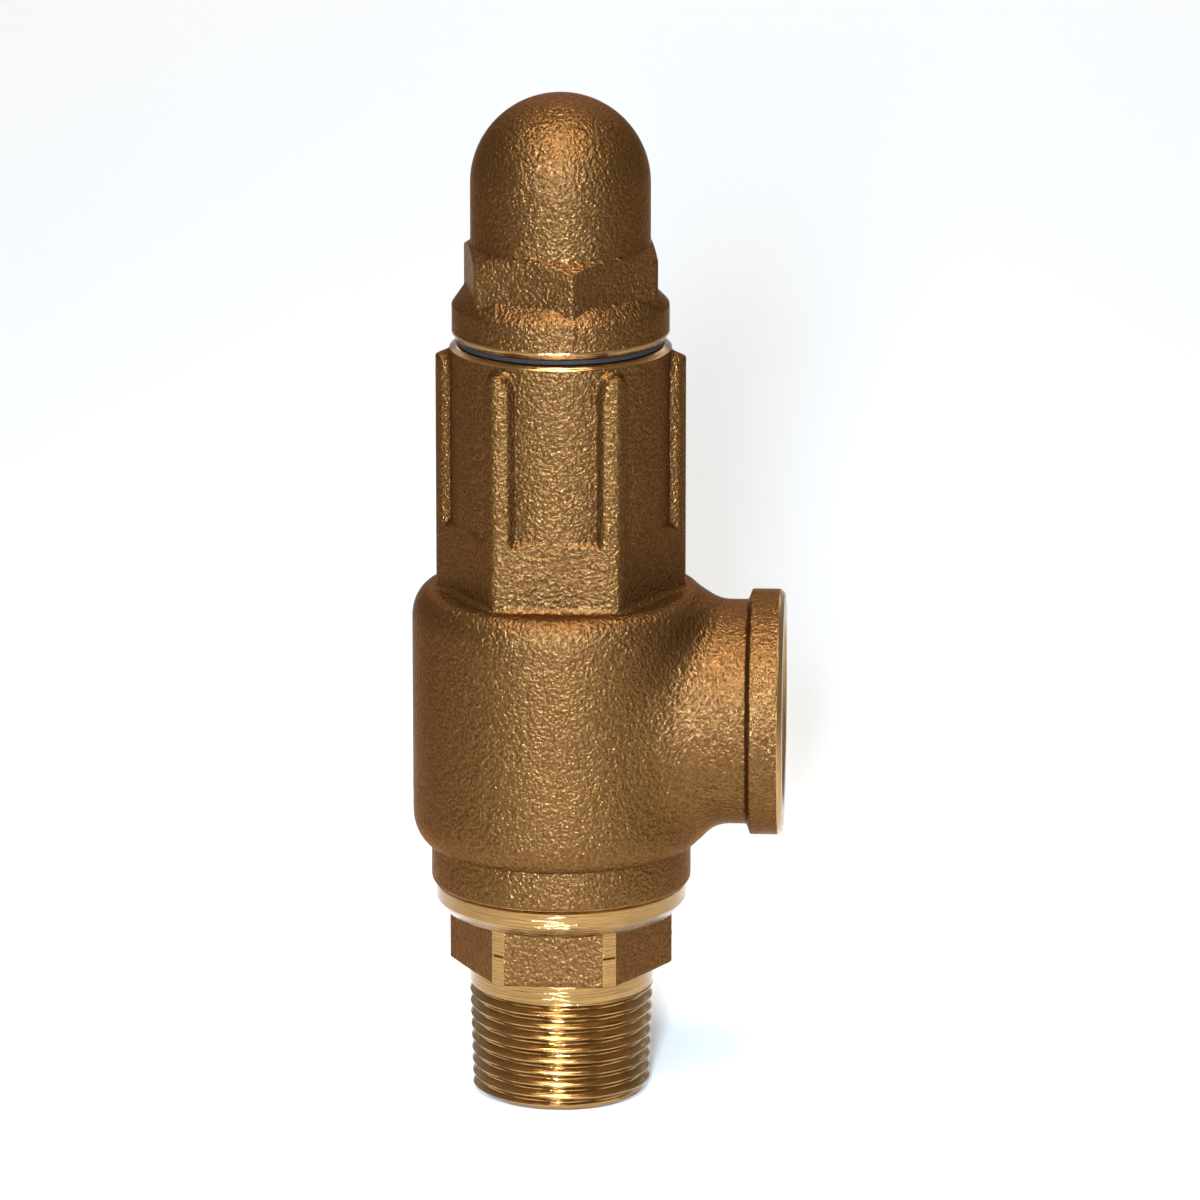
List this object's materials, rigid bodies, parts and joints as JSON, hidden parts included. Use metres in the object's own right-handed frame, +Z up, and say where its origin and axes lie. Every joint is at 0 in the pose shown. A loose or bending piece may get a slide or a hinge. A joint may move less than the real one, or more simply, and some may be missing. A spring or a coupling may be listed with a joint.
{
  "type": "pressure relief valve",
  "caption": "Angle-pattern bronze pressure relief valve: threaded inlet below, side outlet, ribbed spring bonnet and screwed dome cap over a sprung disc and adjusting screw.",
  "frame": {"origin": "centre of the inlet's end face, on the valve's axis", "axes": "+Z up along the valve's axis, from the inlet to the cap; +X out of the side outlet"},
  "size_m": [0.0669, 0.0534, 0.184],
  "materials": {
    "cast_bronze": "shot-blasted bronze casting, matt and grainy",
    "machined_brass": "turned brass, satin with bright edges",
    "stainless_steel": "turned stainless steel",
    "spring_steel": "dark drawn spring steel",
    "soft_seal": "white fluoroplastic",
    "gasket": "black sheet rubber"
  },
  "bodies": {
    "valve": {"body": "cast_bronze", "inlet_nozzle": "machined_brass", "nozzle_gasket": "gasket", "guide_plate": "machined_brass", "guide_circlip": "spring_steel", "spring": "spring_steel"},
    "disc": {"disc_holder": "machined_brass", "seal_disc": "soft_seal", "seal_clamp_washer": "stainless_steel", "seal_screw": "stainless_steel", "spindle": "stainless_steel", "spindle_ball": "stainless_steel", "spindle_retaining_ring": "spring_steel", "spring_plate_ring": "spring_steel", "lower_spring_plate": "stainless_steel"},
    "spring_seat": {"upper_spring_plate": "stainless_steel"},
    "adjuster": {"adjusting_screw": "machined_brass"},
    "cap_seal": {"cap_gasket": "gasket"},
    "cap": {"cap": "cast_bronze"},
    "nut_washer": {"lock_washer": "stainless_steel"},
    "nut": {"lock_nut": "machined_brass"}
  },
  "joints": [
    {"name": "disc_lift", "type": "slide", "parent": "valve", "child": "disc", "axis": [0, 0, 1], "range_m": [0, 0.0045], "stiffness_N_per_m": 29000, "springref_m": -0.0005, "deforming": ["spring"]},
    {"name": "adjust_travel", "type": "slide", "parent": "valve", "child": "spring_seat", "axis": [0, 0, 1], "range_m": [-0.0015, 0.0015], "deforming": ["spring"]},
    {"name": "adjust_turn", "type": "hinge", "parent": "spring_seat", "child": "adjuster", "pos_m": [0, 0, 0.145], "axis": [0, 0, 1], "range_deg": [-360, 360]},
    {"name": "cap_rise", "type": "slide", "parent": "valve", "child": "cap_seal", "axis": [0, 0, 1], "range_m": [0, 0.009]},
    {"name": "cap_turn", "type": "hinge", "parent": "cap_seal", "child": "cap", "pos_m": [0, 0, 0.145], "axis": [0, 0, 1], "range_deg": [0, 2160]},
    {"name": "nut_rise", "type": "slide", "parent": "valve", "child": "nut_washer", "axis": [0, 0, 1], "range_m": [0, 0.003]},
    {"name": "nut_turn", "type": "hinge", "parent": "nut_washer", "child": "nut", "pos_m": [0, 0, 0.155], "axis": [0, 0, 1], "range_deg": [0, 720]}
  ],
  "couplings": [
    {"joint": "adjust_turn", "follows": "adjust_travel", "rad_per_m": 4188},
    {"joint": "cap_turn", "follows": "cap_rise", "rad_per_m": 4188},
    {"joint": "nut_turn", "follows": "nut_rise", "rad_per_m": 4188}
  ]
}
